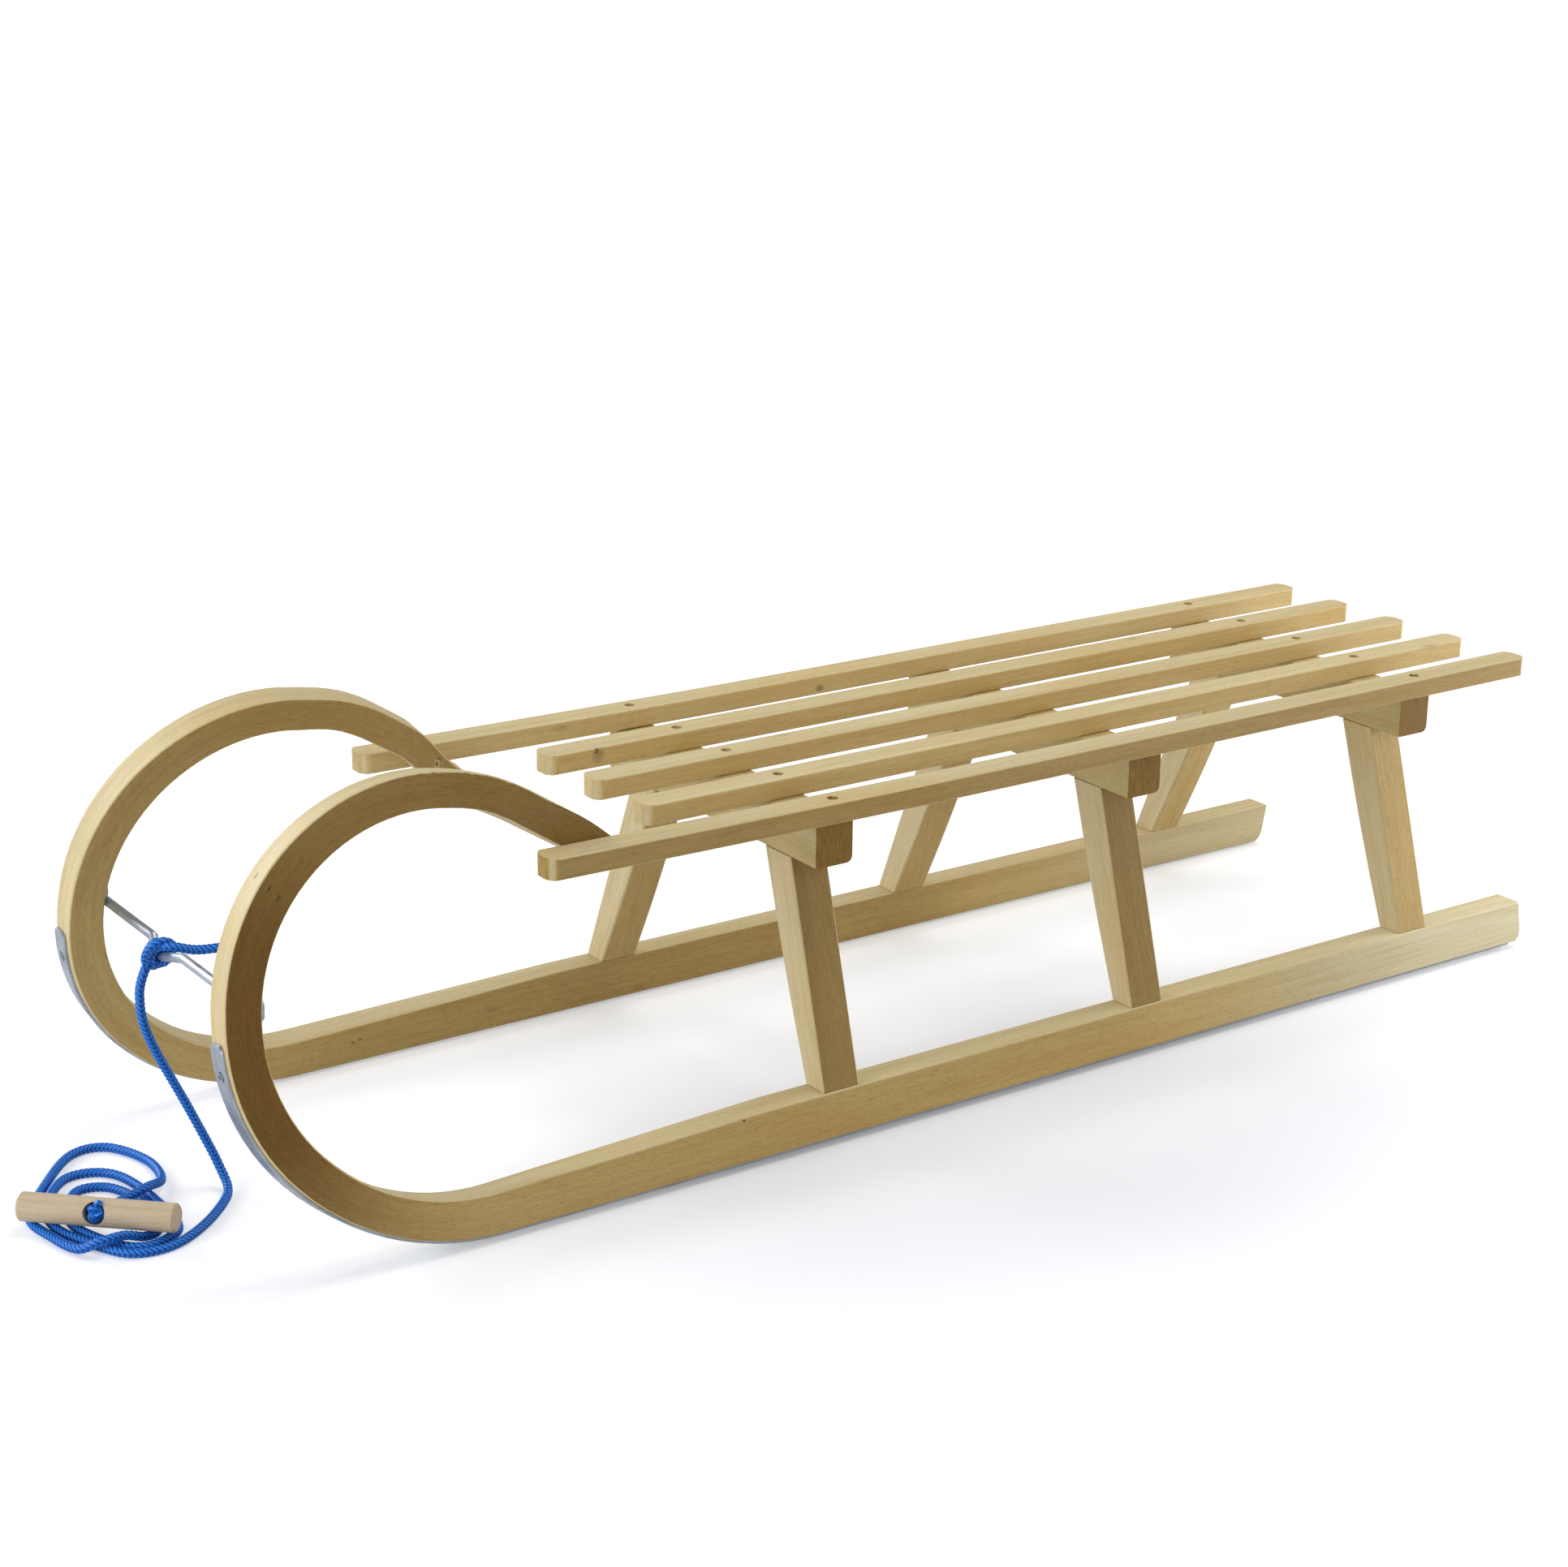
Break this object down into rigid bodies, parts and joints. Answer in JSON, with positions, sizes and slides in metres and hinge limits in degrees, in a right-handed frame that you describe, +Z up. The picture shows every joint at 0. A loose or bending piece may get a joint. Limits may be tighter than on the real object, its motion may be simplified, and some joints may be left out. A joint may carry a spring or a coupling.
{
  "type": "wooden sled",
  "caption": "Horned beech sled: bent runners with steel shoes, splayed legs, slatted seat, steel pull bar between the horns, blue tow rope and dowel handle.",
  "frame": {"origin": "on the ground, under the middle of the sled's own box, tow rope and handle left out", "axes": "+X forward towards the horns, +Y to the sled's left, +Z up"},
  "size_m": [1.2224, 0.332, 0.3103],
  "materials": {
    "runner_wood": "satin varnish",
    "leg_wood": "satin varnish",
    "bearer_wood": "satin varnish",
    "slat_wood": "satin varnish",
    "handle_wood": "plain sanded",
    "shoe_steel": "zinc-plated, satin",
    "bar_steel": "zinc-plated, bright",
    "screw_steel": "zinc-plated",
    "slat_screw_steel": "yellow zinc",
    "horn_screw_steel": "yellow zinc",
    "nail_steel": "dull",
    "rope": "braided polypropylene"
  },
  "bodies": {
    "root": {"runner_left": "runner_wood", "runner_right": "runner_wood", "runner_shoe_left": "shoe_steel", "runner_shoe_right": "shoe_steel", "shoe_screws": "screw_steel", "leg_front_left": "leg_wood", "leg_front_right": "leg_wood", "leg_middle_left": "leg_wood", "leg_middle_right": "leg_wood", "leg_rear_left": "leg_wood", "leg_rear_right": "leg_wood", "bearer_front": "bearer_wood", "bearer_middle": "bearer_wood", "bearer_rear": "bearer_wood", "tenon_nails": "nail_steel", "slat_1": "slat_wood", "slat_2": "slat_wood", "slat_3": "slat_wood", "slat_4": "slat_wood", "slat_5": "slat_wood", "slat_screws": "slat_screw_steel", "horn_screws": "horn_screw_steel", "pull_bar": "bar_steel", "pull_bar_screws": "screw_steel", "rope_hitch": "rope", "rope_tail": "rope", "tow_rope": "rope", "tow_handle": "handle_wood", "stopper_knot": "rope"}
  },
  "joints": []
}
